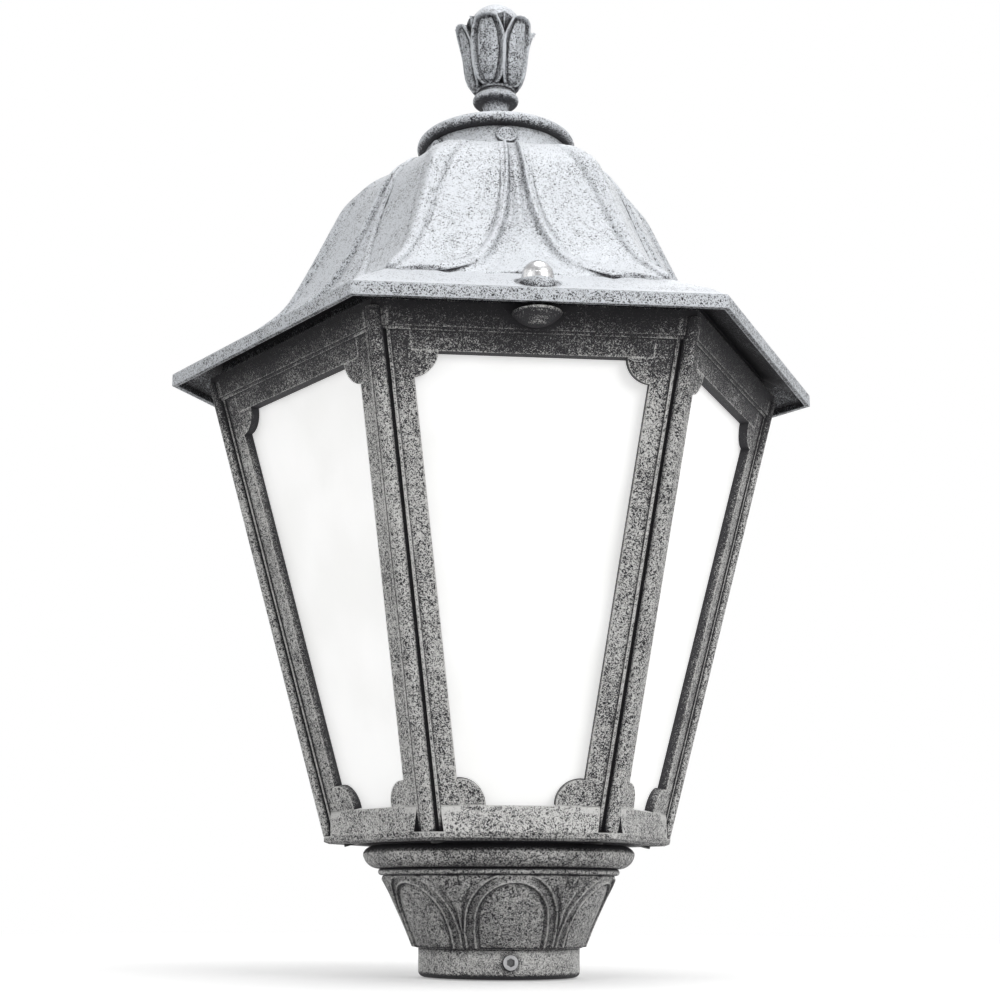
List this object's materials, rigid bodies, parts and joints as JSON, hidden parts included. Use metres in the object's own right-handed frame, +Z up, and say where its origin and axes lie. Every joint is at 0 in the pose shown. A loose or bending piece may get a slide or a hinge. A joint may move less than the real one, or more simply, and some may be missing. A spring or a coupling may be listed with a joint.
{
  "type": "post top lantern",
  "caption": "Hexagonal post top lantern with tapered glazed cage, hinged ogee roof, tulip finial and round post socket.",
  "frame": {"origin": "centre of the round collar's lower edge, on the post socket's axis", "axes": "+Z up along the post, front face with the roof knob and a clamp screw towards -Y, hexagon corners at +X and -X"},
  "size_m": [0.28, 0.2424, 0.43],
  "materials": {
    "cast_frame": "black casting with antique silver brushed over it, mottled",
    "cast_roof": "black casting with antique silver brushed over it, brighter on top",
    "opal_pane": "opal white, satin",
    "steel": "zinc plated",
    "knob_metal": "polished, slightly worn",
    "brass_parts": "plain",
    "rubber_seal": "matt black",
    "holder_white": "glazed white",
    "terminal_white": "moulded",
    "lead_brown": "insulation",
    "lead_blue": "insulation",
    "lamp_cap_metal": "spun cap",
    "lamp_glass": "frosted"
  },
  "bodies": {
    "lantern": {"post_socket": "cast_frame", "base_bell": "cast_frame", "bottom_pan": "cast_frame", "socket_bolts": "steel", "corner_post_1": "cast_frame", "corner_post_2": "cast_frame", "corner_post_3": "cast_frame", "corner_post_4": "cast_frame", "corner_post_5": "cast_frame", "corner_post_6": "cast_frame", "pane_1": "opal_pane", "pane_2": "opal_pane", "pane_3": "opal_pane", "pane_4": "opal_pane", "pane_5": "opal_pane", "pane_6": "opal_pane", "top_ring": "cast_frame", "post_screws_lower": "steel", "post_screws_upper": "steel", "hinge_pin": "steel", "knob_insert": "brass_parts", "roof_gasket": "rubber_seal", "cable_grommet": "rubber_seal", "lampholder_bracket": "steel", "bracket_screws": "steel", "lampholder_screws": "steel", "lampholder": "holder_white", "centre_contact": "brass_parts", "terminal_block": "terminal_white", "terminal_screws": "brass_parts", "lead_live": "lead_brown", "lead_neutral": "lead_blue"},
    "clamp_1": {"clamp_screw_1": "steel"},
    "clamp_2": {"clamp_screw_2": "steel"},
    "clamp_3": {"clamp_screw_3": "steel"},
    "lamp": {"lamp_cap": "lamp_cap_metal", "lamp_globe": "lamp_glass"},
    "roof": {"roof_shell": "cast_roof", "cap_disc": "cast_roof", "finial": "cast_roof", "finial_rod": "steel", "rod_washer": "steel", "rod_nut": "steel"},
    "knob_clip": {"knob_clip": "steel"},
    "knob": {"knob_screw": "knob_metal"}
  },
  "joints": [
    {"name": "clamp_screw_1_slide", "type": "slide", "parent": "lantern", "child": "clamp_1", "axis": [0, -1, 0], "range_m": [-0.0015, 0.002]},
    {"name": "clamp_screw_2_slide", "type": "slide", "parent": "lantern", "child": "clamp_2", "axis": [0.866, 0.5, 0], "range_m": [-0.0015, 0.002]},
    {"name": "clamp_screw_3_slide", "type": "slide", "parent": "lantern", "child": "clamp_3", "axis": [-0.866, 0.5, 0], "range_m": [-0.0015, 0.002]},
    {"name": "lamp_unscrew", "type": "slide", "parent": "lantern", "child": "lamp", "axis": [0, 0, 1], "range_m": [0, 0.022]},
    {"name": "roof_hinge", "type": "hinge", "parent": "lantern", "child": "roof", "pos_m": [0, 0.11376, 0.246], "axis": [-1, 0, 0], "range_deg": [0, 100]},
    {"name": "knob_lift", "type": "slide", "parent": "roof", "child": "knob_clip", "axis": [0, 0, 1], "range_m": [0, 0.004]},
    {"name": "knob_turn", "type": "hinge", "parent": "knob_clip", "child": "knob", "pos_m": [0, -0.11276, 0.25], "axis": [0, 0, 1], "range_deg": [0, 1440]}
  ],
  "couplings": [
    {"joint": "knob_lift", "follows": "knob_turn", "m_per_rad": 0.00015915}
  ]
}
